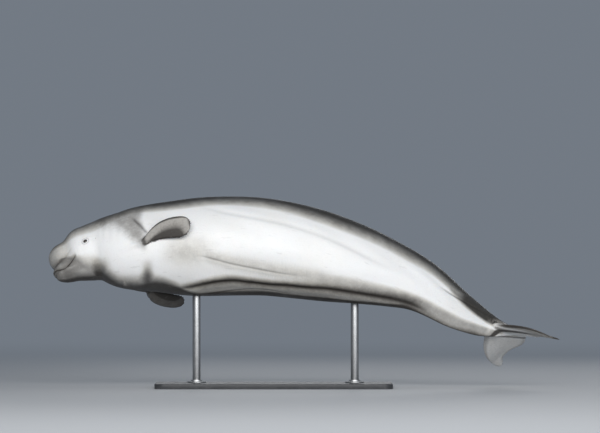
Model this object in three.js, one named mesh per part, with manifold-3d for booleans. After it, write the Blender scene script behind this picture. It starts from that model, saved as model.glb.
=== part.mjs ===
// A life-size beluga whale, as a museum shows one: swimming with its back arched and its
// belly rolled towards the viewer, on a flat base with two rods.
//
// The whale is first drawn straight, with X back from the face, Y to its right and Z to its
// back, and is then bent along its spine into the pose. Millimetres, +Z up: the face points
// to -X, the tail to +X, and the whale's left side is at -Y.

import * as THREE from 'three';
import { mergeVertices } from 'three/addons/utils/BufferGeometryUtils.js';
import Module from 'manifold-3d';

const wasm = await Module();
wasm.setup();

// Driving dimensions
const LENGTH = 4000; // face to fluke notch, along the spine
const GAP = 0.3; // between neighbouring pieces
const UNIT = LENGTH / 1000; // the tables below are in thousandths of the length

// Trunk sections: how far back, then from the spine to the back, the belly and the side
const TRUNK = [
  [75, 50, 50.5, 51],
  [100, 58, 57.5, 59],
  [112, 61, 66, 65],
  [127, 64, 74.5, 71],
  [143, 66.5, 80, 76.5],
  [167, 74, 84, 83],
  [207, 84.5, 88.5, 87.5],
  [247, 89.5, 95, 92.5],
  [307, 96, 101, 98],
  [387, 98, 100.5, 98],
  [467, 95, 99, 94.5],
  [548, 90.5, 98, 86.5],
  [630, 80.5, 89, 71.5],
  [713, 67, 73.5, 49],
  [757, 60.5, 63.5, 40.5],
  [803, 54, 59.5, 31],
  [850, 46.5, 53, 23],
  [896, 38, 39, 16],
  [960, 18, 12, 10],
  [990, 6, 6, 6],
];
// A section is round at power 2, and has a keel above and below as the power falls
const SIDE_POWER = [[0, 2], [500, 2], [700, 1.75], [850, 1.5], [1000, 1.6]];
const TRUNK_START = 75;
const TRUNK_CLOSING = 40; // the round front end of the trunk, inside the head
const TRUNK_END = 990;

// The pose, in degrees along the spine
const PITCH = [
  [0, -20], [50, -13.7], [100, -7.5], [150, -2.8], [200, -1.5], [307, -1.4], [387, 0], [467, 7.3],
  [548, 11.3], [630, 14.4], [713, 20], [757, 26], [803, 32.8], [850, 31], [896, 28.2],
  [930, 21.5], [965, 8], [1000, 12],
]; // positive where the tail end is lower
const YAW = [[0, 0], [550, 0], [650, 2], [750, 8], [850, 16], [930, 21.4], [1000, 27.2]];
const ROLL = [
  [0, 34], [90, 36], [190, 46], [307, 50], [387, 48], [500, 44], [610, 40], [713, 34], [803, 32],
  [900, 30], [1000, 16],
]; // the belly's turn towards the viewer

// The head, as ellipsoids that flow into one another: centre, radii
const CRANIUM = { at: [86, 0, -6.5], radii: [52, 51, 51.5] };
const MELON = { at: [36.5, 0, -3.5], radii: [35, 33.5, 31] };
const UPPER_LIP = { at: [41.5, 0, -32], radii: [39.5, 28, 15.5] };
const LOWER_LIP = { at: [47.5, 0, -42.4], radii: [42, 27, 10.3] };
const SOFTNESS = { cranium: 14, lips: 5, melon: 6, face: 10 };

// Where the head divides, as points on its midline: back, up
const MOUTH_TIP = [2, -47];
const MOUTH_CORNER = [57, -31];
const THROAT = [103, -61];
const FOREHEAD = [54, 42];
const BEHIND_MOUTH = [58.5, -31];
const LIP_CREASE = [[5, -30], [57, -14]];

const EYE = { at: [82.4, 50.5, -10.9], radius: 5 };
const BLOWHOLE = { at: 93, aside: -3, width: 16, thick: 1.8, flatness: 0.55, depth: 5, rise: 55 };

// The net over the body: rings round the face, which fan out from a focus, and round the trunk
const FACE_RINGS = 22;
const BODY_RINGS = 30;
const BODY_COLUMNS = 34;
const FOCUS = [70, 0, -8];
const FOCUS_FADE = 6; // how quickly the trunk rings' centres come back to the spine
const EVEN_SHARE = 0.62; // of the trunk rings' spacing, the rest growing towards the tail

// The pieces of the body, and about how far back each one ends
const DIVISIONS = [
  ['head', 108], ['neck', 165], ['chest', 268], ['trunk_front', 390], ['trunk_rear', 525],
  ['loin', 660], ['tail_stock_front', 835], ['tail_stock_rear', 1000],
];

// Fins: from the root outwards, where the leading and trailing edges and half the thickness are
const FLIPPER = {
  root: [787, 278, -209],
  tip: 424,
  roundFrom: 0.68,
  droop: 0,
  sections: [
    [-90, 14, -42, 26], [0, 14, -40, 25], [66, 54, -34, 22], [154, 88, -46, 18],
    [243, 96, -69, 15], [331, 88, -94, 12], [424, 94, -93, 8],
  ],
};
const FLIPPER_POSE = {
  left: { span: [0.919, 0.393, -0.046], chord: [-0.26, 0.688, 0.678], twist: 0 },
  right: { span: [0.66, 0.673, 0.336], chord: [-0.707, 0.707, -0.027], twist: 0 },
};
const FLUKE = {
  root: [3819, 0, 0],
  tip: 494,
  roundFrom: 0.7,
  droop: 14,
  sections: [
    [-40, 150, -223, 26], [0, 135, -234, 26], [124, 86, -270, 21], [247, 34, -220, 17],
    [370, -41, -228, 13], [460, -128, -311, 9], [494, -166, -337, 7],
  ],
};
// Each fluke's twist is in degrees at its tip, and lifts the leading edge
const FLUKE_POSE = {
  left: { span: [0, 1, -0.32], chord: [-1, 0, 0], twist: 5 },
  right: { span: [0, 1, -0.32], chord: [-1, 0, 0], twist: 0 },
};
const FIN_FULLNESS = 0.35; // how much thicker the leading half is than the trailing half
const FIN_COLUMNS = 14;
const FIN_ROWS = 11;

const RIDGE = { from: 1900, to: 2420, halfWidth: 17, height: 20, depth: 40 };

// The stand
const BASE = { length: 1900, width: 900, height: 40, corner: 80, bevel: 6 };
const BASE_MIDDLE_BACK = 0.455; // how far back along the whale the base's middle is
const BELLY_CLEARANCE = 1140; // from the floor up to the spine at the fullest part
const ROD_RADIUS = 32;
const FOOT = { radius: 75, height: 12, edge: 2, collar: 14 };
const ROD_AT = { front: 0.3, rear: 0.62 };

const COLOURS = {
  skin: 0xe4e3dd,
  fin: 0xb9b6b0,
  eye: 0x17130f,
  base: 0x2b2c2e,
  rod: 0xaeb1b4,
};

// A smooth curve through rows of [place, value]
function curve(rows, column = 1) {
  const x = rows.map((row) => row[0]);
  const y = rows.map((row) => row[column]);
  const last = x.length - 1;
  const step = (i) => x[i + 1] - x[i];
  const rise = (i) => (y[i + 1] - y[i]) / step(i);
  const slope = x.map((_, i) => {
    if (i === 0) return rise(0);
    if (i === last) return rise(last - 1);
    return (rise(i - 1) * step(i) + rise(i) * step(i - 1)) / (step(i - 1) + step(i));
  });
  return (place) => {
    const t = Math.min(Math.max(place, x[0]), x[last]);
    let i = 0;
    while (i < last - 1 && t > x[i + 1]) i += 1;
    const w = step(i);
    const u = (t - x[i]) / w;
    const v = 1 - u;
    return (1 + 2 * u) * v * v * y[i] + u * v * v * w * slope[i]
      + u * u * (3 - 2 * u) * y[i + 1] - u * u * v * w * slope[i + 1];
  };
}

// The spine: a place, and the directions back, right and up, at even steps along the whale
const SPINE_STEP = 1;
const SPINE_STEPS = 1200;
const pitch = curve(PITCH);
const yaw = curve(YAW);
const roll = curve(ROLL);
const spine = [];
for (let i = 0; i <= SPINE_STEPS; i += 1) {
  const along = Math.min(i * SPINE_STEP, 1000);
  const [p, a, r] = [pitch, yaw, roll].map((angle) => THREE.MathUtils.degToRad(angle(along)));
  const back = new THREE.Vector3(Math.cos(p) * Math.cos(a), Math.cos(p) * Math.sin(a), -Math.sin(p));
  const level = new THREE.Vector3(-Math.sin(a), Math.cos(a), 0);
  const upright = new THREE.Vector3().crossVectors(back, level);
  const right = level.clone().multiplyScalar(Math.cos(r)).addScaledVector(upright, -Math.sin(r));
  const up = level.clone().multiplyScalar(Math.sin(r)).addScaledVector(upright, Math.cos(r));
  const place = new THREE.Vector3();
  if (i > 0) {
    const before = spine[i - 1];
    place.copy(before.place);
    place.addScaledVector(before.back.clone().add(back), (SPINE_STEP * UNIT) / 2);
  }
  spine.push({ place, back, right, up });
}

function spineAt(back) {
  const step = Math.min(Math.max(back / UNIT / SPINE_STEP, 0), SPINE_STEPS - 0.001);
  const i = Math.floor(step);
  const mix = (key) => spine[i][key].clone().lerp(spine[i + 1][key], step - i);
  return { place: mix('place'), back: mix('back'), right: mix('right'), up: mix('up') };
}

// From the straight whale to the posed one
function posed(point) {
  const at = spineAt(point.x);
  return at.place
    .addScaledVector(at.back, Math.min(point.x, 0))
    .addScaledVector(at.right, point.y)
    .addScaledVector(at.up, point.z);
}

// The body's shape: functions that are negative inside, in thousandths of the length
const trunkBack = curve(TRUNK, 1);
const trunkBelly = curve(TRUNK, 2);
const trunkSide = curve(TRUNK, 3);
const sidePower = curve(SIDE_POWER);

function blend(a, b, softness) {
  const h = Math.max(softness - Math.abs(a - b), 0) / softness;
  return Math.min(a, b) - (h * h * softness) / 4;
}

function ellipsoid({ at, radii }, p) {
  const q = new THREE.Vector3((p.x - at[0]) / radii[0], (p.y - at[1]) / radii[1], (p.z - at[2]) / radii[2]);
  const k0 = q.length();
  const k1 = q.divide(new THREE.Vector3(...radii)).length();
  return (k0 * (k0 - 1)) / Math.max(k1, 1e-9);
}

function trunk(p) {
  const x = Math.min(Math.max(p.x, TRUNK_START), TRUNK_END);
  const side = trunkSide(x);
  const height = p.z > 0 ? trunkBack(x) : trunkBelly(x);
  const front = Math.max(TRUNK_START - p.x, 0) / TRUNK_CLOSING;
  const rear = Math.max(p.x - TRUNK_END, 0) / (LENGTH / UNIT - TRUNK_END);
  const sum = (Math.abs(p.y) / side) ** sidePower(x) + (p.z / height) ** 2 + front ** 2 + rear ** 2;
  return (Math.sqrt(sum) - 1) * Math.min(side, height);
}

function body(p) {
  let face = blend(ellipsoid(UPPER_LIP, p), ellipsoid(LOWER_LIP, p), SOFTNESS.lips);
  face = blend(face, ellipsoid(MELON, p), SOFTNESS.melon);
  const rest = blend(trunk(p), ellipsoid(CRANIUM, p), SOFTNESS.cranium);
  return blend(rest, face, SOFTNESS.face);
}

// How far out from a centre, in a direction, the body's surface is
const REACH = 130;
const HALVINGS = 24;
function reach(from, direction) {
  let [inside, outside] = [0, REACH];
  for (let i = 0; i < HALVINGS; i += 1) {
    const middle = (inside + outside) / 2;
    if (body(from.clone().addScaledVector(direction, middle)) < 0) inside = middle;
    else outside = middle;
  }
  return inside;
}

// A sphere's net laid over a shape: place(row from 0 to 1, turn) gives each vertex, in the posed
// frame. Row 0 is a single point at the front or tip, and row 1 one at the other end.
function netted(columns, rows, place) {
  const geometry = new THREE.SphereGeometry(1, columns, rows);
  const { position, uv } = geometry.attributes;
  for (let i = 0; i < position.count; i += 1) {
    const row = Math.floor(i / (columns + 1));
    const column = (i % (columns + 1)) % columns;
    const point = place(row, (2 * Math.PI * column) / columns);
    position.setXYZ(i, point.x, point.y, point.z);
  }
  return geometry;
}

function solidOf(geometry) {
  geometry.deleteAttribute('normal');
  geometry.deleteAttribute('uv');
  const merged = mergeVertices(geometry, 1e-3);
  return new wasm.Manifold(new wasm.Mesh({
    numProp: 3,
    vertProperties: Float32Array.from(merged.attributes.position.array),
    triVerts: Uint32Array.from(merged.index.array),
  }));
}

function geometryOf(solid) {
  const { vertProperties, triVerts } = solid.getMesh();
  const geometry = new THREE.BufferGeometry();
  geometry.setAttribute('position', new THREE.BufferAttribute(vertProperties, 3));
  geometry.setIndex(new THREE.BufferAttribute(triVerts, 1));
  geometry.computeVertexNormals();
  return geometry;
}

// How far back a ring of the trunk is
function ringBack(ring) {
  const share = (ring - FACE_RINGS) / BODY_RINGS;
  const stretched = share * (EVEN_SHARE + (1 - EVEN_SHARE) * share);
  return FOCUS[0] + (LENGTH / UNIT - FOCUS[0]) * stretched;
}

// The whole body in its pose, with its surface moved out by some millimetres
function bodySolid(grown) {
  const rows = FACE_RINGS + BODY_RINGS;
  return solidOf(netted(BODY_COLUMNS, rows, (row, turn) => {
    const centre = new THREE.Vector3(...FOCUS);
    const direction = new THREE.Vector3(0, Math.sin(turn), Math.cos(turn));
    if (row <= FACE_RINGS) {
      const fan = (row / FACE_RINGS) * (Math.PI / 2);
      direction.multiplyScalar(Math.sin(fan)).setX(-Math.cos(fan));
    } else {
      const fade = Math.max(0, 1 - (FOCUS_FADE * (row - FACE_RINGS)) / BODY_RINGS);
      centre.set(ringBack(row), 0, FOCUS[2] * fade);
    }
    const out = row === rows ? 0 : reach(centre, direction) + grown / UNIT;
    return posed(centre.addScaledVector(direction, out).multiplyScalar(UNIT));
  }));
}

// A fin in its pose. The right one is drawn, and the left one is its mirror image.
function finSolid(fin, pose, side) {
  const span = new THREE.Vector3(...pose.span).normalize();
  const chord = new THREE.Vector3(...pose.chord);
  chord.addScaledVector(span, -chord.dot(span)).normalize();
  const normal = new THREE.Vector3().crossVectors(span, chord);
  const [leading, trailing, thickness] = [1, 2, 3].map((column) => curve(fin.sections, column));
  const start = fin.sections[0][0];
  return solidOf(netted(FIN_COLUMNS, FIN_ROWS, (row, turn) => {
    const out = start + (fin.tip - start) * Math.cos((row / FIN_ROWS) * (Math.PI / 2));
    const past = Math.max(0, (out / fin.tip - fin.roundFrom) / (1 - fin.roundFrom));
    const narrowing = row === 0 || row === FIN_ROWS ? 0 : Math.sqrt(Math.max(1 - past * past, 0));
    const middle = (leading(out) + trailing(out)) / 2;
    const halfChord = ((leading(out) - trailing(out)) / 2) * narrowing;
    const halfThickness = thickness(out) * Math.sqrt(narrowing);
    const swing = Math.sin(side * turn);
    const across = middle + halfChord * swing;
    const through = -Math.cos(side * turn) * (1 + FIN_FULLNESS * swing) * halfThickness;
    const outShare = Math.max(out, 0) / fin.tip;
    const twist = THREE.MathUtils.degToRad(pose.twist) * outShare;
    const [cos, sin] = [Math.cos(twist), Math.sin(twist)];
    const point = new THREE.Vector3(...fin.root)
      .addScaledVector(span, out)
      .addScaledVector(chord, across * cos - through * sin)
      .addScaledVector(normal, across * sin + through * cos + fin.droop * outShare ** 2);
    point.y *= side;
    return posed(point);
  }));
}

// A low crest along the middle of the back
function ridgeSolid() {
  const rows = 12;
  const columns = 8;
  return solidOf(netted(columns, rows, (row, turn) => {
    const share = (1 - Math.cos((row / rows) * Math.PI)) / 2;
    const back = RIDGE.from + (RIDGE.to - RIDGE.from) * share;
    const swell = Math.sin((row / rows) * Math.PI);
    const skin = trunkBack(back / UNIT) * UNIT;
    const up = Math.cos(turn) > 0 ? RIDGE.height : RIDGE.depth;
    return posed(new THREE.Vector3(
      back, RIDGE.halfWidth * swell * Math.sin(turn), skin + up * swell * Math.cos(turn)));
  }));
}

// A cut across the midline through two points of it, with its normal to the upper or rear side
function midlineCut([backA, upA], [backB, upB]) {
  const a = posed(new THREE.Vector3(backA * UNIT, 0, upA * UNIT));
  const b = posed(new THREE.Vector3(backB * UNIT, 0, upB * UNIT));
  const { right } = spineAt(((backA + backB) / 2) * UNIT);
  const normal = b.sub(a).cross(right).normalize();
  return { normal, offset: normal.dot(a) };
}

function crossCut(back) {
  const at = spineAt(back * UNIT);
  return { normal: at.back.normalize(), offset: at.back.dot(at.place) };
}

// The part of a solid on the upper or rear side of a cut, and the part on the other side, each
// stopping short of the cut by a gap
function beyond(solid, { normal, offset }, gap = 0) {
  return solid.trimByPlane(normal.toArray(), offset + gap);
}

function before(solid, { normal, offset }, gap = 0) {
  return solid.trimByPlane(normal.clone().negate().toArray(), gap - offset);
}

const group = new THREE.Group();

function add(name, solid, colour, roughness, metalness = 0) {
  const material = new THREE.MeshStandardMaterial({ color: colour, roughness, metalness });
  const mesh = new THREE.Mesh(geometryOf(solid), material);
  mesh.name = name;
  group.add(mesh);
}

const whole = bodySolid(0);
const clearOfWhole = bodySolid(GAP);

// The body's lengths, from the head to the tail, each cut midway between two rings of the net
function cutNear(back) {
  let ring = FACE_RINGS;
  while (ringBack(ring + 1) < back) ring += 1;
  return crossCut((ringBack(ring) + ringBack(ring + 1)) / 2);
}

const lengths = {};
let rest = whole;
for (const [name, end] of DIVISIONS) {
  if (end * UNIT < LENGTH) {
    const cut = cutNear(end);
    lengths[name] = before(rest, cut, GAP / 2);
    rest = beyond(rest, cut, GAP / 2);
  } else {
    lengths[name] = rest;
  }
}

// The eyes sit in open pockets
function eyeSolid(side, grown) {
  const at = posed(new THREE.Vector3(EYE.at[0], EYE.at[1] * side, EYE.at[2]).multiplyScalar(UNIT));
  const geometry = new THREE.SphereGeometry(EYE.radius * UNIT + grown, 12, 8);
  return solidOf(geometry.translate(at.x, at.y, at.z));
}

// The blowhole is a crescent on the crown, a little left of the middle
function blowholeSolid() {
  const half = BLOWHOLE.width / 2;
  const shape = new THREE.Shape();
  shape.absarc(0, 0, half, 0, Math.PI, false);
  shape.lineTo(-half + BLOWHOLE.thick, 0);
  shape.absarc(0, 0, half - BLOWHOLE.thick, Math.PI, 0, true);
  const geometry = new THREE.ExtrudeGeometry(shape, {
    depth: BLOWHOLE.depth * 2, bevelEnabled: false, curveSegments: 10,
  });
  geometry.scale(UNIT, UNIT * BLOWHOLE.flatness, UNIT);
  geometry.rotateZ(-Math.PI / 2);
  const at = spineAt(BLOWHOLE.at * UNIT);
  const frame = new THREE.Matrix4().makeBasis(at.back, at.right, at.up);
  frame.setPosition(posed(new THREE.Vector3(
    BLOWHOLE.at, BLOWHOLE.aside, BLOWHOLE.rise - BLOWHOLE.depth).multiplyScalar(UNIT)));
  return solidOf(geometry.applyMatrix4(frame));
}

// The head divides at the mouth, the throat, the forehead and above the upper lip
const mouth = midlineCut(MOUTH_TIP, MOUTH_CORNER);
const throat = midlineCut(MOUTH_CORNER, THROAT);
const forehead = midlineCut(FOREHEAD, BEHIND_MOUTH);
const lipCrease = midlineCut(...LIP_CREASE);
const reachOfHead = LENGTH / 4;
const block = solidOf(new THREE.BoxGeometry(reachOfHead, reachOfHead, reachOfHead));
const jawRegion = before(before(block, mouth, -GAP), throat, -GAP);
const jaw = before(before(lengths.head, mouth), throat);
const upperHead = lengths.head.subtract(jawRegion);
const muzzle = before(upperHead, forehead, GAP / 2);
let crown = beyond(upperHead, forehead, GAP / 2).subtract(blowholeSolid());
crown = crown.subtract(eyeSolid(1, GAP)).subtract(eyeSolid(-1, GAP));

add('melon', beyond(muzzle, lipCrease, GAP / 2), COLOURS.skin, 0.5);
add('upper_jaw', before(muzzle, lipCrease, GAP / 2), COLOURS.skin, 0.5);
add('lower_jaw', jaw, COLOURS.skin, 0.5);
add('head', crown, COLOURS.skin, 0.5);
for (const [name] of DIVISIONS.slice(1)) add(name, lengths[name], COLOURS.skin, 0.5);
add('eye_left', eyeSolid(-1, 0), COLOURS.eye, 0.15);
add('eye_right', eyeSolid(1, 0), COLOURS.eye, 0.15);
add('dorsal_ridge', ridgeSolid().subtract(clearOfWhole), COLOURS.skin, 0.5);

const sides = { left: -1, right: 1 };
const flukeDivide = spineAt(FLUKE.root[0] + FLUKE.sections[0][1]);
for (const [name, side] of Object.entries(sides)) {
  const flipper = finSolid(FLIPPER, FLIPPER_POSE[name], side).subtract(clearOfWhole);
  add(`flipper_${name}`, flipper, COLOURS.fin, 0.5);
  const outward = flukeDivide.right.clone().multiplyScalar(side);
  const divide = { normal: outward, offset: outward.dot(flukeDivide.place) };
  const fluke = beyond(finSolid(FLUKE, FLUKE_POSE[name], side), divide, GAP / 2).subtract(clearOfWhole);
  add(`fluke_${name}`, fluke, COLOURS.fin, 0.5);
}

// The stand: a flat base, and two upright rods cut to the belly
const floor = -BELLY_CLEARANCE + spineAt(0.387 * LENGTH).place.z;
const baseMiddle = spineAt(BASE_MIDDLE_BACK * LENGTH).place;

function baseSolid() {
  const { length, width, corner, bevel, height } = BASE;
  const [x, y] = [length / 2 - bevel, width / 2 - bevel];
  const shape = new THREE.Shape();
  shape.absarc(x - corner, y - corner, corner, 0, Math.PI / 2);
  shape.absarc(-x + corner, y - corner, corner, Math.PI / 2, Math.PI);
  shape.absarc(-x + corner, -y + corner, corner, Math.PI, 1.5 * Math.PI);
  shape.absarc(x - corner, -y + corner, corner, 1.5 * Math.PI, 2 * Math.PI);
  const geometry = new THREE.ExtrudeGeometry(shape, {
    depth: height - bevel * 2, bevelSize: bevel, bevelThickness: bevel, bevelSegments: 1, curveSegments: 5,
  });
  return solidOf(geometry.translate(baseMiddle.x, baseMiddle.y, floor + bevel));
}

// A turned piece of the stand, from its profile of radius and height above the base
function turned(share, profile) {
  const at = spineAt(share * LENGTH).place;
  const points = profile.map(([radius, height]) => new THREE.Vector2(radius, height));
  const geometry = new THREE.LatheGeometry(points, 20).rotateX(Math.PI / 2);
  return solidOf(geometry.translate(at.x, at.y, floor + BASE.height + GAP));
}

function footSolid(share) {
  const { radius, height, edge, collar } = FOOT;
  return turned(share, [
    [0, 0], [radius, 0], [radius, height - edge], [radius - edge, height],
    [ROD_RADIUS + collar, height], [ROD_RADIUS + collar * 0.3, height + collar * 0.3],
    [ROD_RADIUS, height + collar], [0, height + collar],
  ]);
}

function rodSolid(share) {
  const bottom = FOOT.height + FOOT.collar + GAP;
  const top = spineAt(share * LENGTH).place.z - floor - BASE.height;
  const rod = turned(share, [[0, bottom], [ROD_RADIUS, bottom], [ROD_RADIUS, top], [0, top]]);
  return rod.subtract(clearOfWhole);
}

add('stand_base', baseSolid(), COLOURS.base, 0.45);
for (const [name, share] of Object.entries(ROD_AT)) {
  add(`stand_foot_${name}`, footSolid(share), COLOURS.rod, 0.3, 1);
  add(`stand_rod_${name}`, rodSolid(share), COLOURS.rod, 0.3, 1);
}

// The origin is under the middle of the whole model, on the floor
const box = new THREE.Box3().setFromObject(group);
const middle = box.getCenter(new THREE.Vector3());
group.position.set(-middle.x, -middle.y, -box.min.z);

export default group;
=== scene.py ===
# A beluga whale at life size, as a still museum model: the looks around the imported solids.
#
# The skin is worked out straight first, from the same tables as the solids, and is then bent
# along the spine into the pose. Straight places are in thousandths of the whale's length: X
# back from the face, Y to its right, Z to its back. Everything else is in metres.
import math

import bmesh
import bpy
import numpy as np
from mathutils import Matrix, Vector


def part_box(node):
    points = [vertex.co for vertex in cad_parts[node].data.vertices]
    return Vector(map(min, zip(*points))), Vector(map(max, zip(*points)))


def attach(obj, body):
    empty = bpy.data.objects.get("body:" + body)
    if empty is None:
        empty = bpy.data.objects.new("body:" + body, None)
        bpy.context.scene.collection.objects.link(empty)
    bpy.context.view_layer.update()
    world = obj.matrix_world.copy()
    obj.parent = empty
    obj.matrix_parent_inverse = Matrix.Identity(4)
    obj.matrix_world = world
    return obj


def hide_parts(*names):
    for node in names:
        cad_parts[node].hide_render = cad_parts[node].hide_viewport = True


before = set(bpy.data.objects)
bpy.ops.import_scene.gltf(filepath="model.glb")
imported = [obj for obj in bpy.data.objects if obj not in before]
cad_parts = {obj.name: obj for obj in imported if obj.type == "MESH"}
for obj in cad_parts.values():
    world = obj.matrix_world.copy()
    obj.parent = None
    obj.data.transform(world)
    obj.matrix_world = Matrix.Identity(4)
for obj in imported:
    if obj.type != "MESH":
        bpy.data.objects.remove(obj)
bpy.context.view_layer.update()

# The whale's length along its spine, and a thousandth of it
LENGTH = 4.0
UNIT = LENGTH / 1000
MM = 0.001 / UNIT  # a millimetre, in thousandths of the length

# Trunk sections: how far back, then from the spine to the back, the belly and the side
TRUNK = [
    (75, 50, 50.5, 51), (100, 58, 57.5, 59), (112, 61, 66, 65), (127, 64, 74.5, 71),
    (143, 66.5, 80, 76.5), (167, 74, 84, 83), (207, 84.5, 88.5, 87.5), (247, 89.5, 95, 92.5),
    (307, 96, 101, 98), (387, 98, 100.5, 98), (467, 95, 99, 94.5), (548, 90.5, 98, 86.5),
    (630, 80.5, 89, 71.5), (713, 67, 73.5, 49), (757, 60.5, 63.5, 40.5), (803, 54, 59.5, 31),
    (850, 46.5, 53, 23), (896, 38, 39, 16), (960, 18, 12, 10), (990, 6, 6, 6),
]
SIDE_POWER = [(0, 2), (500, 2), (700, 1.75), (850, 1.5), (1000, 1.6)]
TRUNK_START, TRUNK_CLOSING, TRUNK_END = 75, 40, 990

# The pose, in degrees along the spine
PITCH = [
    (0, -20), (50, -13.7), (100, -7.5), (150, -2.8), (200, -1.5), (307, -1.4), (387, 0),
    (467, 7.3), (548, 11.3), (630, 14.4), (713, 20), (757, 26), (803, 32.8), (850, 31),
    (896, 28.2), (930, 21.5), (965, 8), (1000, 12),
]
YAW = [(0, 0), (550, 0), (650, 2), (750, 8), (850, 16), (930, 21.4), (1000, 27.2)]
ROLL = [
    (0, 34), (90, 36), (190, 46), (307, 50), (387, 48), (500, 44), (610, 40), (713, 34),
    (803, 32), (900, 30), (1000, 16),
]

# The head, as ellipsoids that flow into one another: centre, radii
CRANIUM = ((86, 0, -6.5), (52, 51, 51.5))
MELON = ((36.5, 0, -3.5), (35, 33.5, 31))
UPPER_LIP = ((41.5, 0, -33.5), (39.5, 28, 15))
LOWER_LIP = ((47.5, 0, -44), (41.5, 26.5, 9))
EYE = np.array((82.4, 50.5, -10.9))
EYE_RADIUS = 5
LID = (81.6, 54.7, -11.6)  # the middle of the lids' opening, on the skin

# Fins in millimetres. A blade's rows run outwards: how far out, its leading and trailing edges,
# and half its thickness.
FLIPPER = {
    "root": (787, 278, -209), "tip": 424, "round_from": 0.68, "droop": 0,
    "sections": [
        (-90, 14, -42, 26), (0, 14, -40, 25), (66, 54, -34, 22), (154, 88, -46, 18),
        (243, 96, -69, 15), (331, 88, -94, 12), (424, 94, -93, 8),
    ],
}
# A fin's pose: along the span, towards the leading edge, and the twist at its tip in degrees
FLIPPER_POSE = {
    "left": ((0.919, 0.393, -0.046), (-0.26, 0.688, 0.678), 0),
    "right": ((0.66, 0.673, 0.336), (-0.707, 0.707, -0.027), 0),
}
FLUKE = {
    "root": (3819, 0, 0), "tip": 494, "round_from": 0.7, "droop": 14,
    "sections": [
        (-40, 150, -223, 26), (0, 135, -234, 26), (124, 86, -270, 21), (247, 34, -220, 17),
        (370, -41, -228, 13), (460, -128, -311, 9), (494, -166, -337, 7),
    ],
}
FLUKE_POSE = {
    "left": ((0, 1, -0.32), (-1, 0, 0), 5),
    "right": ((0, 1, -0.32), (-1, 0, 0), 0),
}
FIN_FULLNESS = 0.35  # how much thicker a blade is towards its leading edge
TIP_CLOSING = 20  # how far past its tip a blade closes, in millimetres

# The nodes that the skin stands for
FLESH = [
    "melon", "upper_jaw", "lower_jaw", "head", "neck", "chest", "trunk_front", "trunk_rear",
    "loin", "tail_stock_front", "tail_stock_rear", "dorsal_ridge", "flipper_left",
    "flipper_right", "fluke_left", "fluke_right",
]


def curve(rows, column=1):
    """A smooth function through rows of (place, value)."""
    x = np.array([row[0] for row in rows], float)
    y = np.array([row[column] for row in rows], float)
    step = np.diff(x)
    rise = np.diff(y) / step
    slope = np.empty(len(x))
    slope[0], slope[-1] = rise[0], rise[-1]
    slope[1:-1] = (rise[:-1] * step[1:] + rise[1:] * step[:-1]) / (step[1:] + step[:-1])

    def value(place):
        t = np.clip(np.asarray(place, float), x[0], x[-1])
        i = np.clip(np.searchsorted(x, t, side="right") - 1, 0, len(x) - 2)
        w = step[i]
        u = (t - x[i]) / w
        v = 1 - u
        return ((1 + 2 * u) * v * v * y[i] + u * v * v * w * slope[i]
                + u * u * (3 - 2 * u) * y[i + 1] - u * u * v * w * slope[i + 1])

    return value


def smooth(low, high, value):
    """0 below low and 1 above high, with a smooth rise between."""
    t = np.clip((value - low) / (high - low), 0, 1)
    return t * t * (3 - 2 * t)


def within(low, start, end, high, value):
    """1 from start to end, with a smooth fall to 0 at low and at high."""
    return smooth(low, start, value) * smooth(high, end, value)


def bell(value, width):
    return np.exp(-(value / width) ** 2)


def most(*masks):
    """The strongest of several masks at each point."""
    return np.maximum.reduce(masks)


# The spine: a place and the directions back, right and up, at every thousandth
SPINE_STEPS = 1200


def make_spine():
    along = np.minimum(np.arange(SPINE_STEPS + 1), 1000)
    p, a, r = (np.radians(curve(rows)(along)) for rows in (PITCH, YAW, ROLL))
    back = np.stack([np.cos(p) * np.cos(a), np.cos(p) * np.sin(a), -np.sin(p)], 1)
    level = np.stack([-np.sin(a), np.cos(a), 0 * a], 1)
    upright = np.cross(back, level)
    cos, sin = np.cos(r)[:, None], np.sin(r)[:, None]
    right, up = level * cos - upright * sin, level * sin + upright * cos
    steps = (back[1:] + back[:-1]) / 2 * UNIT
    place = np.concatenate([np.zeros((1, 3)), np.cumsum(steps, 0)])
    return place, back, right, up


SPINE = make_spine()


def posed(p):
    """Straight places bent into the pose, in metres from the straight whale's face."""
    step = np.clip(p[:, 0], 0, SPINE_STEPS - 0.001)
    i = step.astype(int)
    f = (step - i)[:, None]
    place, back, right, up = (table[i] * (1 - f) + table[i + 1] * f for table in SPINE)
    ahead = np.minimum(p[:, :1], 0)
    return place + (back * ahead + right * p[:, 1:2] + up * p[:, 2:3]) * UNIT


def corners_of(node):
    return [np.array(v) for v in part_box(node)]


def middle_of(node):
    low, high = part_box(node)
    return np.array((low + high) / 2)


# Where the straight whale's face is in the row frame, from the left eye's solid
ORIGIN = middle_of("eye_left") - posed(EYE[None] * (1, -1, 1))[0]


# The whale's form: functions of straight places that are negative inside
trunk_back, trunk_belly, trunk_side = (curve(TRUNK, column) for column in (1, 2, 3))
side_power = curve(SIDE_POWER)


def blend(a, b, softness):
    h = np.maximum(softness - np.abs(a - b), 0) / softness
    return np.minimum(a, b) - h * h * softness / 4


def ellipsoid(shape, p):
    centre, radii = (np.array(v, float) for v in shape)
    q = (p - centre) / radii
    k0 = np.linalg.norm(q, axis=1)
    k1 = np.linalg.norm(q / radii, axis=1)
    return k0 * (k0 - 1) / np.maximum(k1, 1e-9)


def trunk(p):
    x = np.clip(p[:, 0], TRUNK_START, TRUNK_END)
    side = trunk_side(x)
    height = np.where(p[:, 2] > 0, trunk_back(x), trunk_belly(x))
    front = np.maximum(TRUNK_START - p[:, 0], 0) / TRUNK_CLOSING
    rear = np.maximum(p[:, 0] - TRUNK_END, 0) / (1000 - TRUNK_END)
    total = (np.abs(p[:, 1]) / side) ** side_power(x) + (p[:, 2] / height) ** 2
    return (np.sqrt(total + front ** 2 + rear ** 2) - 1) * np.minimum(side, height)


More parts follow.
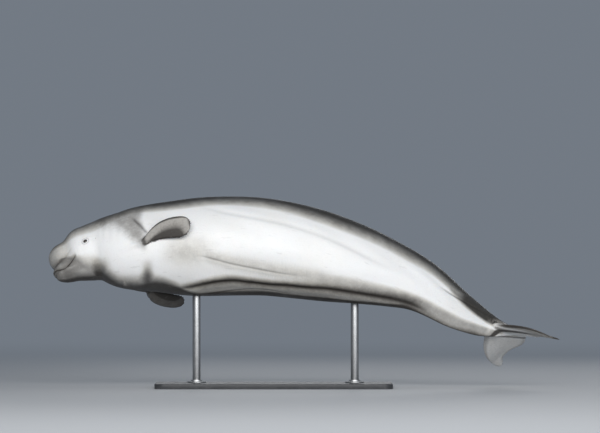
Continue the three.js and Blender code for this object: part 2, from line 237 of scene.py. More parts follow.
def body(p):
    face = blend(ellipsoid(UPPER_LIP, p), ellipsoid(LOWER_LIP, p), 3)
    face = blend(face, ellipsoid(MELON, p), 5)
    rest = blend(trunk(p), ellipsoid(CRANIUM, p), 14)
    return blend(rest, face, 10)


class Fin:
    """A flipper or fluke on one side of the whale."""

    def __init__(self, shape, pose, side):
        self.shape, self.side = shape, side
        self.root = np.array(shape["root"], float) * MM
        span, chord = (np.array(v, float) for v in pose[:2])
        self.span = span / np.linalg.norm(span)
        chord -= self.span * (chord @ self.span)
        self.chord = chord / np.linalg.norm(chord)
        self.normal = np.cross(self.span, self.chord)
        self.edges = [curve(shape["sections"], column) for column in (1, 2, 3)]
        self.start, self.tip = shape["sections"][0][0], shape["tip"]
        self.twist = math.radians(pose[2])

    def section(self, out):
        """The middle and half width of the blade, and half its thickness, in millimetres."""
        leading, trailing, thickness = (edge(out) for edge in self.edges)
        past = (out / self.tip - self.shape["round_from"]) / (1 - self.shape["round_from"])
        narrowing = np.sqrt(np.maximum(1 - np.clip(past, 0, 1) ** 2, 0.0025))
        return ((leading + trailing) / 2, (leading - trailing) / 2 * narrowing,
                thickness * np.sqrt(narrowing))

    def bend(self, out):
        """The blade's droop, and the cosine and sine of its twist."""
        share = np.maximum(out, 0) / self.tip
        twist = self.twist * share
        return self.shape["droop"] * share ** 2, np.cos(twist), np.sin(twist)

    def local(self, p):
        """How far out, across and through the blade a straight place is, in millimetres."""
        q = p * (1, self.side, 1) - self.root
        out = q @ self.span / MM
        droop, cos, sin = self.bend(out)
        along, above = q @ self.chord / MM, q @ self.normal / MM - droop
        return out, along * cos + above * sin, above * cos - along * sin

    def chord_at(self, p):
        """How far out each place is, and where between the edges: 1 leading, -1 trailing."""
        out, across, _ = self.local(p)
        middle, half, _ = self.section(np.clip(out, self.start, self.tip))
        return out, (across - middle) / half

    def distance(self, p):
        out, across, through = self.local(p)
        middle, half, thick = self.section(np.clip(out, self.start, self.tip))
        a = (across - middle) / half
        thick = thick * (1 + FIN_FULLNESS * np.clip(a, -1, 1))
        b = through / thick
        c = np.maximum(out - self.tip, 0) / TIP_CLOSING
        k0 = np.sqrt(a * a + b * b + c * c)
        k1 = np.sqrt((a / half) ** 2 + (b / thick) ** 2 + (c / TIP_CLOSING) ** 2)
        return k0 * (k0 - 1) / np.maximum(k1, 1e-9) * MM

    def grid(self, columns, rows, least, wider):
        """A closed net over the blade, no thinner than least and wider at its edges."""
        turn = np.arange(columns) * 2 * np.pi / columns
        share = np.cos(np.linspace(0, np.pi / 2, rows))
        out = self.start + (self.tip - self.start) * share
        middle, half, thick = (v[:, None] for v in self.section(out))
        across = middle + (half + wider) * np.sin(turn)
        fuller = 1 + FIN_FULLNESS * np.sin(turn)
        through = -np.maximum(thick * fuller, least) * np.cos(turn)
        droop, cos, sin = (v[:, None] for v in self.bend(out))
        along, above = across * cos - through * sin, across * sin + through * cos + droop
        at = (self.root + (out[:, None, None] * self.span + along[..., None] * self.chord
                           + above[..., None] * self.normal) * MM)
        at[..., 1] *= self.side
        return at


SIDES = {"left": -1, "right": 1}
FLIPPERS = {name: Fin(FLIPPER, FLIPPER_POSE[name], side) for name, side in SIDES.items()}
FLUKES = {name: Fin(FLUKE, FLUKE_POSE[name], side) for name, side in SIDES.items()}
FINS = [*FLIPPERS.values(), *FLUKES.values()]
CHEST, TAIL = (150, 330), 880  # where the flippers lie, and where the flukes start


def whale(p):
    """The whole form: the body, with the fins growing out of it in soft fillets."""
    form = body(p)
    chest = (p[:, 0] > CHEST[0]) & (p[:, 0] < CHEST[1])
    for fin in FLIPPERS.values():
        out = fin.local(p[chest])[0]
        fillet = 0.8 + 4 * smooth(90, 10, out)
        form[chest] = blend(form[chest], fin.distance(p[chest]), fillet)
    tail = p[:, 0] > TAIL
    for fin in FLUKES.values():
        fillet = 2 + 6 * smooth(975, 940, p[tail, 0])
        form[tail] = blend(form[tail], fin.distance(p[tail]), fillet)
    return form


# The step that slopes are measured over, and the most a place moves in a round
NUDGE, LONGEST_MOVE = 0.1, 5


def outward(p):
    """The whole form's slope at each place."""
    steps = np.eye(3) * NUDGE
    return np.stack([whale(p + s) - whale(p - s) for s in steps], 1) / (2 * NUDGE)


def settle(p, rounds):
    """Moves places onto the whale's surface."""
    for _ in range(rounds):
        slope = outward(p)
        size = np.sqrt(np.maximum((slope ** 2).sum(1), 1e-6))
        move = np.clip(whale(p) / size, -LONGEST_MOVE, LONGEST_MOVE)
        p = p - slope / size[:, None] * move[:, None]
    return p


# Meshes
def closed_net(grid, first, last):
    """Vertices and faces of rings of points, closed with a point at each end."""
    rows, columns = grid.shape[:2]
    points = np.concatenate([[first], grid.reshape(-1, 3), [last]])
    end = 1 + (rows - 1) * columns
    faces = []
    for c in range(columns):
        d = (c + 1) % columns
        faces.append((0, 1 + c, 1 + d))
        faces.append((rows * columns + 1, end + d, end + c))
        for near in range(1, end, columns):
            far = near + columns
            faces.append((near + c, far + c, far + d, near + d))
    return points, faces


def bands(rings, columns, start=0):
    """Faces between rings of vertices, of which the first starts at vertex start."""
    faces = []
    for low in range(start, start + (rings - 1) * columns, columns):
        for c in range(columns):
            d = (c + 1) % columns
            faces.append((low + c, low + d, low + columns + d, low + columns + c))
    return faces


def placed(name, data):
    """A new object in the scene, for a mesh, a light or a camera."""
    made = bpy.data.objects.new(name, data)
    bpy.context.scene.collection.objects.link(made)
    return made


def new_object(name, points, faces):
    mesh = bpy.data.meshes.new(name)
    mesh.from_pydata([tuple(p) for p in points], [], [tuple(f) for f in faces])
    mesh.update()
    mesh.shade_smooth()
    return placed(name, mesh)


# Where the face's rays start, how far rays reach, and how often their ends are halved
FOCUS = np.array((70.0, 0.0, -8.0))
REACH, HALVINGS = 130, 18


def body_net(face_rings=36, body_rings=150, columns=80):
    """A net over the body alone, cast outwards from its middle."""
    turn = np.arange(columns) * 2 * np.pi / columns
    flat = np.stack([0 * turn, np.sin(turn), np.cos(turn)], 1)
    rings = []
    for ring in range(1, face_rings + body_rings):
        if ring <= face_rings:
            fan = ring / face_rings * math.pi / 2
            middle, way = FOCUS, flat * math.sin(fan) - (math.cos(fan), 0, 0)
        else:
            share = (ring - face_rings) / body_rings
            middle = np.array((FOCUS[0] + (1000 - FOCUS[0]) * share, 0, 0))
            middle[2] = FOCUS[2] * max(0, 1 - 6 * share)
            way = flat
        inside, outside = np.zeros(columns), np.full(columns, float(REACH))
        for _ in range(HALVINGS):
            half = (inside + outside) / 2
            hit = body(middle + way * half[:, None]) < 0
            inside, outside = np.where(hit, half, inside), np.where(hit, outside, half)
        rings.append(middle + way * inside[:, None])
    return closed_net(np.array(rings), (0, 0, FOCUS[2]), (999.5, 0, 0))


VOXEL = 2.4  # the side of the skin's faces, before parts of it are made finer


def remeshed(parts):
    """One even mesh over overlapping closed nets, as arrays of points and four-sided faces."""
    points, faces = [], []
    for part_points, part_faces in parts:
        start = len(points)
        points += list(part_points)
        faces += [[start + i for i in face] for face in part_faces]
    rough = new_object("rough", points, faces)
    modifier = rough.modifiers.new("remesh", "REMESH")
    modifier.mode, modifier.voxel_size = "VOXEL", VOXEL
    done = rough.evaluated_get(bpy.context.evaluated_depsgraph_get()).to_mesh()
    at = np.empty(len(done.vertices) * 3, np.float32)
    done.vertices.foreach_get("co", at)
    corners = np.empty(len(done.loops), np.int32)
    done.loops.foreach_get("vertex_index", corners)
    bpy.data.objects.remove(rough)
    return at.reshape(-1, 3).astype(float), corners.reshape(-1, 4)


def relaxed(at, corners, chosen, rounds):
    """Evens out the chosen points among their neighbours, along the surface."""
    first = corners.ravel()
    second = np.roll(corners, -1, axis=1).ravel()
    count = np.bincount(first, minlength=len(at))[:, None]
    at = at.copy()
    for _ in range(rounds):
        sums = np.stack([np.bincount(first, at[second, k], len(at)) for k in range(3)], 1)
        at[chosen] += 0.6 * (sums / np.maximum(count, 1) - at)[chosen]
        at[chosen] = settle(at[chosen], rounds=2)
    return at


def places_of(mesh):
    return np.array([v.co for v in mesh.verts])


def move_to(mesh, places):
    for vertex, place in zip(mesh.verts, places):
        vertex.co = place


def refined(mesh, where):
    """Splits the faces in part of the mesh, and settles the new points."""
    chosen = where(places_of(mesh))
    edges = [e for e in mesh.edges if chosen[e.verts[0].index] and chosen[e.verts[1].index]]
    bmesh.ops.subdivide_edges(mesh, edges=edges, cuts=1, use_grid_fill=True)
    mesh.verts.ensure_lookup_table()
    mesh.verts.index_update()
    at = places_of(mesh)
    chosen = where(at)
    at[chosen] = settle(at[chosen], rounds=2)
    move_to(mesh, at)


# The skin's features, in straight places: back and up for the mouth's corner and the ear, back
# and to the right for the blowhole, and half the width and height of the lids' opening
mouth_height = curve([
    (0, -34.5), (6, -36), (12, -38), (20, -41), (28, -43), (35, -41.4), (43, -37.6),
    (50, -33.8), (57, -30),
])
furrow_height = curve([
    (0, -25), (8, -24.8), (16, -24.2), (28, -22.8), (36, -21.5), (45, -17.2), (54, -13),
])
MOUTH_CORNER = (56, -31)
EAR = (102, -13)
BLOWHOLE = (95.2, -3)
LID_HALF = (3.3, 2.9)
NECK_ROLLS = (119, 133, 148)
HEAD_END, HEAD_SIDE, HEAD_TOP = 125, 35, 30  # the head's end, and where its sides and top start


def by_mouth(p, end, reach):
    return (p[:, 0] < end) & (np.abs(p[:, 2] - mouth_height(p[:, 0])) < reach)


def by_eyes(p, reach):
    near = np.hypot(p[:, 0] - LID[0], p[:, 2] - LID[2]) < reach
    return near & (np.abs(p[:, 1]) > HEAD_SIDE)


def near_head(p):
    return p[:, 0] < HEAD_END


def near_detail(p):
    hole = (np.hypot(p[:, 0] - 93, p[:, 1]) < 14) & (p[:, 2] > HEAD_TOP)
    return by_mouth(p, 72, 9) | by_eyes(p, 12) | hole


def near_lips_and_lids(p):
    return by_mouth(p, 66, 2.2) | by_eyes(p, 6.5)


def by_fins(p, reach, least_out, least_edge):
    found = np.zeros(len(p), bool)
    for fin in FINS:
        out, chord = fin.chord_at(p)
        edge = np.maximum(np.abs(chord), out / fin.tip)
        found |= (fin.distance(p) < reach) & (out > least_out) & (edge >= least_edge)
    return found


def near_fins(p):
    return by_fins(p, 2, 0, 0)


def near_margins(p):
    return by_fins(p, 1.5, 20, 0.82)


# Lines in the skin: places back and angles in degrees, then the width, depth and tint, and where
# the line fades in and out. The tint is painted shade in the line. Angles are up from the side, on
# both sides; with one_side they are round the body from the left side, -90 on the belly and -180
# on the right side. The first line is the belly's groove and the second the fold above it.
FOLDS = [
    {
        "path": [
            (225, -122), (236, -117), (262, -109.5), (292, -104), (331, -97), (371, -93.5),
            (412, -94.5), (460, -95), (500, -91), (540, -87.5), (580, -84), (620, -82),
            (669, -80.5), (714, -79.5), (768, -82), (824, -84), (900, -86),
        ],
        "one_side": True, "width": 4.2, "depth": 2.0, "tint": 1.0,
        "here": (240, 345, 750, 820),
    },
    {
        "path": [
            (296, -60), (311, -61), (341, -65), (369, -69), (410, -73), (465, -75),
            (520, -73), (600, -72),
        ],
        "one_side": False, "width": 2.0, "depth": 0.9, "tint": 0.42,
        "here": (296, 335, 430, 540),
    },
    {
        "path": [
            (292, 8), (353, -5.5), (426, -13), (477, -14.2), (536, -17), (610, -22.5),
            (647, -26), (700, -30),
        ],
        "one_side": False, "width": 4.5, "depth": 0.6, "tint": 0.16,
        "here": (290, 380, 620, 710),
    },
    {
        "path": [(780, -9), (800, -7), (840, 3.5), (880, 29), (912, 44.5), (945, 47)],
        "one_side": False, "width": 1.8, "depth": 0.9, "tint": 0.6,
        "here": (785, 815, 910, 940),
    },
]
FOLD_REACH = 9  # the mesh is finer this near a fold

# Where the folds of the neck and shoulder are, for an angle
neck_x = curve([(-150, 199), (-108, 200), (-93, 203), (-83, 207), (-68, 209.5), (-50, 210)])
shoulder_x = curve([(-30, 207), (-22, 198), (-15, 191), (-7, 182), (0, 176)])


def angle_of(p):
    """The angle up from the whale's side, in degrees: 90 on the back and -90 on the belly."""
    return np.degrees(np.arctan2(p[:, 2], np.abs(p[:, 1])))


def angle_around(p):
    """The angle round the body from its left side: 90 on the back and -90 on the belly."""
    return (np.degrees(np.arctan2(p[:, 2], -p[:, 1])) + 270) % 360 - 270


def fold_line(fold, p):
    """How far round the body each point is from a fold, and how much of the fold is there."""
    turn = angle_around(p) if fold["one_side"] else angle_of(p)
    off = np.radians(turn - curve(fold["path"])(p[:, 0])) * np.hypot(p[:, 1], p[:, 2])
    return off, within(*fold["here"], p[:, 0])


def near_folds(p):
    found = np.zeros(len(p), bool)
    for fold in FOLDS:
        off, here = fold_line(fold, p)
        found |= (np.abs(off) < FOLD_REACH) & (here > 0)
    return found


def features(p):
    """How far each point of the skin moves out, and how much painted shade its grooves and folds
    get.
    """
    x, side, z = p[:, 0], np.abs(p[:, 1]), p[:, 2]
    turn, around = angle_of(p), angle_around(p)
    out, crease_shade = np.zeros(len(p)), np.zeros(len(p))

    def carve(line, depth, tint):
        """Sinks the skin along a line, and paints shade into it there."""
        out[:] -= depth * line
        crease_shade[:] = most(crease_shade, tint * line)

    # the closed mouth, with its corner turned up into the cheek
    off = z - mouth_height(x)
    along = smooth(60, 52, x)
    carve(bell(off, 0.9) * along, 1.5, 1)
    out += 0.45 * bell(off + 2.6, 2.0) * along + 0.25 * bell(off - 2.8, 2.2) * along
    corner = np.hypot(x - MOUTH_CORNER[0], (z - MOUTH_CORNER[1]) * 0.8)
    carve(bell(corner, 3.0) * (side > 20), 0.6, 0.5)

    # the furrow between the upper lip and the melon
    furrow = bell(z - furrow_height(x), 1.8) * smooth(58, 44, x)
    carve(furrow * (0.35 + 0.65 * smooth(42, 26, x)), 0.7, 0.55)

    # the eye's opening and lids: lid is 1 at the opening's edge, and more further out
    dx, dz = (x - LID[0]) / LID_HALF[0], (z - LID[2]) / LID_HALF[1]
    lid = np.sqrt(dx ** 2 + dz ** 2) + 10 * (side < HEAD_SIDE)
    out -= 3.2 * smooth(1.12, 0.7, lid)
    out += 0.55 * bell(lid - 1.45, 0.33) + 0.3 * bell(lid - 2.7, 0.6)
    out -= 0.25 * bell(lid - 2.05, 0.22)
    # painted shade round the eye's opening and in the lids' fold
    rims = 0.9 * smooth(1.5, 0.95, lid) + 0.35 * bell(lid - 2.05, 0.3)
    crease_shade[:] = most(crease_shade, rims)

    # the ear's pinhole
    carve(bell(np.hypot(x - EAR[0], z - EAR[1]), 0.8) * (side > 30), 0.8, 0.7)

    # the blowhole, a crescent with its horns forward
    across = p[:, 1] - BLOWHOLE[1]
    arc = x - BLOWHOLE[0] + 0.055 * across ** 2
    carve(bell(arc, 0.8) * smooth(9.0, 6.5, np.abs(across)) * (z > HEAD_TOP), 2.4, 1)
    out += 0.6 * bell(arc, 3.2) * smooth(12.0, 6.0, np.abs(across)) * (z > HEAD_TOP)

    # where the jaw meets the throat, and the folds of the neck and shoulder
    carve(bell(x - 104, 5) * smooth(-42, -70, turn), 0.8, 0.25)
    neck = within(-155, -130, -90, -55, around)
    carve(bell(x - neck_x(around), 7) * neck, 1, 0.25)
    carve(bell(x - shoulder_x(turn), 3.2) * within(-31, -24, -5, 3, turn), 1, 0.75)
    for place in NECK_ROLLS:
        carve(bell(x - place - 0.06 * (turn - 20), 3.5) * smooth(-40, -10, turn), 0.22, 0.06)

    # slack flesh: slow swellings that run along the flanks and belly
    slack = np.sin(x * 0.045 + 2.1 * np.sin(turn * 0.05)) * np.sin(turn * 0.11 + x * 0.012)
    slack += 0.6 * np.sin(x * 0.021 + turn * 0.17 + 1.3 * np.sin(x * 0.033))
    out += 0.5 * slack * within(150, 260, 760, 880, x) * smooth(35, -10, turn)

    for fold in FOLDS:
        off, here = fold_line(fold, p)
        width, depth = fold["width"], fold["depth"]
        carve(bell(off, width) * here, depth, fold["tint"])
        out += 0.4 * depth * bell(np.abs(off) - 2.8 * width, 1.7 * width) * here

    # the low ridge along the back, notched as in life
    ridge = bell(side, 3.6) * (z > 0) * within(470, 500, 575, 606, x)
    out += ridge * (4.2 + 0.5 * np.sin(x * 0.55))
    return out, np.clip(crease_shade, 0, 1)


def skin_mesh():
    """The skin in straight places, made finer near the fins, head, folds and details, as a mesh
    ready to be bent.
    """
    parts = [body_net()]
    for fin in FINS:
        grid = fin.grid(columns=44, rows=48, least=7, wider=3)
        points, faces = closed_net(grid, grid[0].mean(0), grid[-1].mean(0))
        if fin.side > 0:
            faces = [face[::-1] for face in faces]
        parts.append((points, faces))
    at, corners = remeshed(parts)
    at = settle(at, rounds=6)
    at = relaxed(at, corners, near_fins(at), rounds=6)
    mesh = bmesh.new()
    vertices = [mesh.verts.new(p) for p in at]
    for face in corners:
        mesh.faces.new([vertices[i] for i in face])
    mesh.verts.index_update()
    finer = (near_fins, near_head, near_folds, near_margins, near_detail, near_lips_and_lids)
    for where in finer:
        refined(mesh, where)
    return mesh


def attribute(mesh, name, values):
    """Keeps a number or a place for each of the mesh's points."""
    values = np.asarray(values, np.float32)
    kind, key = ("FLOAT", "value") if values.ndim == 1 else ("FLOAT_VECTOR", "vector")
    mesh.attributes.new(name, kind, "POINT").data.foreach_set(key, values.ravel())


# Where the painted shade's tones change: mostly the angle where a tone starts, or the degrees it
# grows over, for a place. nape_shade_end is a place for an angle, and grey_most a strength. Angles
# are up from the side, but round the body for the belly's tones.
groove_line, low_fold_line = (curve(fold["path"]) for fold in FOLDS[:2])
keel_start = curve([(790, 12), (805, 4), (820, -8), (840, -18), (860, -25), (900, -32), (940, -40)])
back_start = curve([
    (0, 8), (60, 4), (100, 2), (145, 7), (190, 8), (220, 4), (380, 5), (460, 4), (540, 1),
    (590, 0), (660, 4), (780, 7), (900, 8),
])
back_width = curve([
    (0, 60), (100, 54), (150, 34), (210, 25), (380, 27), (600, 33), (700, 46), (800, 50), (900, 70),
])
nape_shade_start = curve([(100, -2), (120, -11), (140, -19), (160, -33), (180, -46), (198, -56)])
nape_shade_width = curve([(100, 30), (140, 32), (160, 24), (198, 18)])
nape_shade_end = curve([(-44, 202), (-15, 196), (-3, 192), (8, 196), (22, 199), (50, 185)])
jaw_start = curve([(0, -30), (50, -31), (65, -33), (80, -34), (100, -38)])
jaw_width = curve([(0, 12), (50, 14), (65, 26), (80, 42), (100, 46)])
grey_start = curve([
    (460, -64), (520, -61), (580, -58), (700, -56), (820, -58), (870, -57), (920, -46), (950, -36),
])
grey_most = curve([(440, 0), (520, 0.3), (600, 0.6), (660, 0.75), (950, 0.75)])
edge_start = curve([
    (85, -40), (100, -42), (140, -72), (180, -78), (220, -80), (260, -92), (300, -112),
    (340, -108), (420, -107), (500, -104), (580, -98), (660, -91), (700, -86), (740, -78),
    (780, -79), (860, -79), (900, -75), (940, -82),
])
edge_width = curve([
    (85, 50), (140, 36), (180, 34), (220, 22), (265, 15), (310, 10), (360, 10), (740, 10),
    (780, 14), (940, 16),
])

# How far the drawing sees over the back, as an angle from the left side. The painted shade on the
# back and belly stops there: the skin past it, and past the opposite angle under the belly, is the
# far side, which keeps an adult's white.
seen_to = curve([
    (0, 48), (90, 53), (125, 45), (195, 40), (300, 40), (440, 44), (545, 50), (615, 55), (650, 60),
    (720, 70), (790, 76), (860, 83), (1000, 84),
])


def back_tones(x, turn, around):
    """Painted shade: dark along the back, and grey behind the head down to the shoulder."""
    over = (around + 90) % 360 - 90  # 90 at the top, and 180 on the right side
    # the painted shade fades out on the far side, which stays white
    paler = (1 - 0.8 * smooth(2, 28, over - seen_to(x))) * smooth(172, 118, over)
    back = 1 - (1 - np.clip((turn - back_start(x)) / back_width(x), 0, 1)) ** 2
    back = back * smooth(-8, 25, x)
    # painted shade behind the tail stock's keel
    behind_keel = 0.62 * smooth(790, 812, x) + 0.36 * smooth(820, 855, x)
    back = most(back, smooth(0, 28, turn - keel_start(x)) * behind_keel)
    # the painted shade is lighter over the top of the front half
    back = back * (1 - 0.3 * smooth(52, 75, turn) * smooth(700, 550, x))
    # painted shade behind the head, down to the shoulder's fold
    nape_shade = smooth(0, 1, (turn - nape_shade_start(x)) / nape_shade_width(x)) * smooth(98, 116, x)
    return back * paler, 0.8 * nape_shade * smooth(7, -9, x - nape_shade_end(turn)) * paler


def head_tones(x, z, turn):
    """Painted shade on the head: grey on the muzzle and jaw, and dark round the lips."""
    face = smooth(60, 8, x) * (0.8 + 0.2 * smooth(-5, -26, z))
    jaw = smooth(0, -1, (turn - jaw_start(x)) / jaw_width(x)) * within(-8, 30, 95, 110, x)
    # a lighter spot in the jaw's painted shade: a painted highlight on the lower jaw
    jaw = jaw * (1 - 0.3 * bell(turn + 74, 7) * bell(x - 66, 20))
    lips = most(
        0.5 * bell(z - mouth_height(x), 5.5) * smooth(62, 46, x),
        0.5 * bell(z - furrow_height(x), 4.5) * smooth(46, 26, x),
        0.45 * smooth(-24, -40, z) * smooth(30, 8, x),
        0.3 * smooth(-44, -50, z) * smooth(62, 30, x),
    )
    return most(face, jaw), lips


def belly_tones(x, turn, around, groove_off):
    """Painted shade on the underside: grey with its paler strip, and dark towards its far edge."""
    grey = grey_most(x) * smooth(0, -14, around - grey_start(x))
    # painted shadow along the low fold, by the chest, and above and below the belly's groove
    by_fold = bell(around - low_fold_line(x) - 2, 8) * within(300, 330, 560, 640, x)
    chest = bell(around + 56, 15) * within(215, 285, 285, 365, x)
    by_groove = smooth(13, 0, around - groove_line(x)) * smooth(270, 330, x)
    strip = smooth(0, -3, around - groove_line(x)) * smooth(290, 320, x)
    grey = most(grey, 0.36 * by_fold, 0.4 * chest, 0.68 * by_groove, 0.72 * strip)
    # the painted shade stops on the far side, which stays white
    far = smooth(-38, -8, around + 180 - seen_to(x))
    # painted shade: dark towards the far edge, under the chin, at the throat and neck folds and by
    # the groove
    edge = smooth(0, 1, (edge_start(x) - around) / edge_width(x)) * smooth(82, 96, x)
    chin = smooth(-82, -98, around) * smooth(110, 90, x)
    throat = bell(x - 109.5, 12) * smooth(-46, -80, turn)
    neck = bell(x - 202, 8 + 22 * smooth(-76, -108, around)) * smooth(-58, -90, around)
    beside = bell(groove_off - 3, 10) * within(215, 300, 740, 800, x)
    return grey * far, most(edge, chin, 0.9 * most(throat, neck, beside)) * far


def fin_tones(p):
    """Where the fins are, their dark edges, and painted shade on the flippers and their roots."""
    on_body = smooth(0.3, 1.6, body(p))
    on, fin, margin, fin_shade = (np.zeros(len(p)) for _ in range(4))
    for name, blade in (*FLIPPERS.items(), *FLUKES.items()):
        out, chord = blade.chord_at(p)
        flipper = blade.shape is FLIPPER
        here = smooth(2.5, 0.5, blade.distance(p)) * on_body
        here = here * (smooth(-5, 12, out) if flipper else smooth(-10, 110, out))
        pale = blade.shape is FLUKE and name == "right"
        on = most(on, here)
        fin = most(fin, here * (0.42 if pale else 1))
        rim = smooth(0.74, 0.92, np.abs(chord))
        rim = most(rim, smooth(0.93, 0.985, out / blade.tip))
        margin = most(margin, here * rim * (0.35 if pale else 1))
        if flipper:
            # painted shade over the flipper's trailing half, and nearly all over the right flipper
            reach = 0.3 + 0.5 * smooth(40, 240, out)
            inner = 1.7 * bell(chord + 0.75, reach) * within(15, 110, 290, 385, out)
            inner = np.maximum(inner, 0.82) if name == "right" else inner
            fin_shade = most(fin_shade, here * np.clip(inner, 0, 1))
            # a painted shadow round the flipper's root
            root = smooth(7, 2, blade.distance(p)) * within(-12, -4, 12, 40, out)
            margin = most(margin, 0.9 * root * on_body)
    return on, fin, margin, fin_shade


def tail_tones(p):
    """Under the tail: painted shadow beside the keel, and painted highlights on both sides of it.
    """
    x, side, z = p[:, 0], p[:, 1], p[:, 2]
    below = smooth(5, -2, z)
    # a painted shadow beside the keel, under the left fluke's root
    off = side + 11.5 + 1.08 * (x - 935) - 7 * smooth(972, 938, x)
    half = 12 * np.sqrt(np.maximum(1 - ((x - 957) / 31) ** 2, 0))
    keel_shadow = smooth(0, 4, half - np.abs(off)) * below
    # painted highlights along the keel and beside the painted shadow
    keel = bell(side + 3, 4) * smooth(928, 940, x)
    trailing = smooth(13, 20, off) * smooth(5, 0, side) * smooth(940, 960, x)
    trailing = trailing * smooth(-70, -45, side)
    leading = bell(off + 21, 7) * within(915, 930, 960, 990, x)
    pale = most(keel, trailing, leading) * below
    # a painted dark line where a fluke meets the keel
    join = bell(side - 8.5, 2.6) * smooth(925, 942, x) * below
    return pale * (1 - keel_shadow), most(keel_shadow, 0.9 * join)


def tones(p, crease_shade):
    """The colour masks, for every point of the skin."""
    x, z, turn, around = p[:, 0], p[:, 2], angle_of(p), angle_around(p)
    back, nape_shade = back_tones(x, turn, around)
    muzzle, lips = head_tones(x, z, turn)
    grey, shade = belly_tones(x, turn, around, fold_line(FOLDS[0], p)[0])
    on, fin, margin, fin_shade = fin_tones(p)
    pale, keel_shadow = tail_tones(p)
    # pale, the painted highlights under the tail, lifts the painted shade and the fins' grey there
    bare = 1 - on
    return {
        "back": back * bare, "nape_shade": nape_shade * bare,
        "under": most(muzzle, grey) * bare * (1 - pale),
        "shade": most(shade, lips) * bare * (1 - pale),
        "fin": fin * (1 - 0.85 * pale), "margin": margin * (1 - pale),
        "fin_shade": most(fin_shade, keel_shadow), "crease_shade": crease_shade,
    }


def make_skin():
    mesh = skin_mesh()
    at = places_of(mesh)
    out, crease_shade = features(at)
    slope = outward(at)
    slope /= np.maximum(np.linalg.norm(slope, axis=1), 1e-6)[:, None]
    move_to(mesh, posed(at + slope * out[:, None]) + ORIGIN)
    made = bpy.data.meshes.new("skin")
    mesh.to_mesh(made)
    mesh.free()
    made.shade_smooth()
    attribute(made, "place", at * UNIT)
    for name, values in tones(at, crease_shade).items():
        attribute(made, name, values)
    return placed("skin", made)


# Materials
def new_material(name):
    material = bpy.data.materials.new(name)
    material.use_nodes = True
    return material, material.node_tree, material.node_tree.nodes["Principled BSDF"]


def feed(tree, node, inputs):
    """Gives a node's inputs, by name or number, a value or another node's output."""
    for key, value in dict(inputs).items():
        if isinstance(value, bpy.types.NodeSocket):
            tree.links.new(value, node.inputs[key])
        else:
            node.inputs[key].default_value = value


def add(tree, kind, inputs=(), **settings):
    made = tree.nodes.new(kind)
    for name, value in settings.items():
        setattr(made, name, value)
    feed(tree, made, inputs)
    return made


def attribute_node(tree, name, output="Fac"):
    return add(tree, "ShaderNodeAttribute", attribute_name=name).outputs[output]


def object_place(tree):
    return add(tree, "ShaderNodeTexCoord").outputs["Object"]


def maths(tree, operation, *values):
    return add(tree, "ShaderNodeMath", enumerate(values), operation=operation).outputs[0]


def mixed(tree, share, first, second):
    """A colour between two others, which are sockets or plain colours."""
    colours = [c if isinstance(c, bpy.types.NodeSocket) else (*c, 1) for c in (first, second)]
    inputs = {0: share, 6: colours[0], 7: colours[1]}
    return add(tree, "ShaderNodeMix", inputs, data_type="RGBA").outputs[2]


def tinted(tree, colour, *layers):
    """The colour mixed with each layer's tint in turn, by the product of the layer's shares."""
    for tint, amount, *shares in layers:
        for share in shares:
            amount = maths(tree, "MULTIPLY", amount, share)
        colour = mixed(tree, amount, colour, tint)
    return colour


def noise(tree, where, scale, detail, stretch=None):
    if stretch:
        where = add(tree, "ShaderNodeMapping", {"Vector": where, "Scale": stretch}).outputs[0]
    inputs = {"Vector": where, "Scale": scale, "Detail": detail}
    return add(tree, "ShaderNodeTexNoise", inputs).outputs[0]


def ramp(tree, value, low, high):
    """0 below low and 1 above high, with a smooth rise between."""
    inputs = {"Value": value, "From Min": low, "From Max": high}
    return add(tree, "ShaderNodeMapRange", inputs, interpolation_type="SMOOTHSTEP").outputs[0]


def bump(tree, height, distance, strength):
    inputs = {"Height": height, "Distance": distance, "Strength": strength}
    return add(tree, "ShaderNodeBump", inputs).outputs[0]


WHITE = (0.83, 0.83, 0.825)
CREAM = (0.79, 0.775, 0.735)
# GREY: painted shade on the head, neck and underside, and the fins' and marks' own grey
GREY = (0.235, 0.225, 0.21)
# painted shade along the back
BACK_SHADE = (0.028, 0.024, 0.018)
# TAN: a warm tint where the painted shade fades out
TAN = (0.58, 0.53, 0.42)
FIN_GREY = (0.37, 0.35, 0.32)
# DARK: painted shade and shadow, and also the fins' own dark edges
DARK = (0.026, 0.021, 0.017)


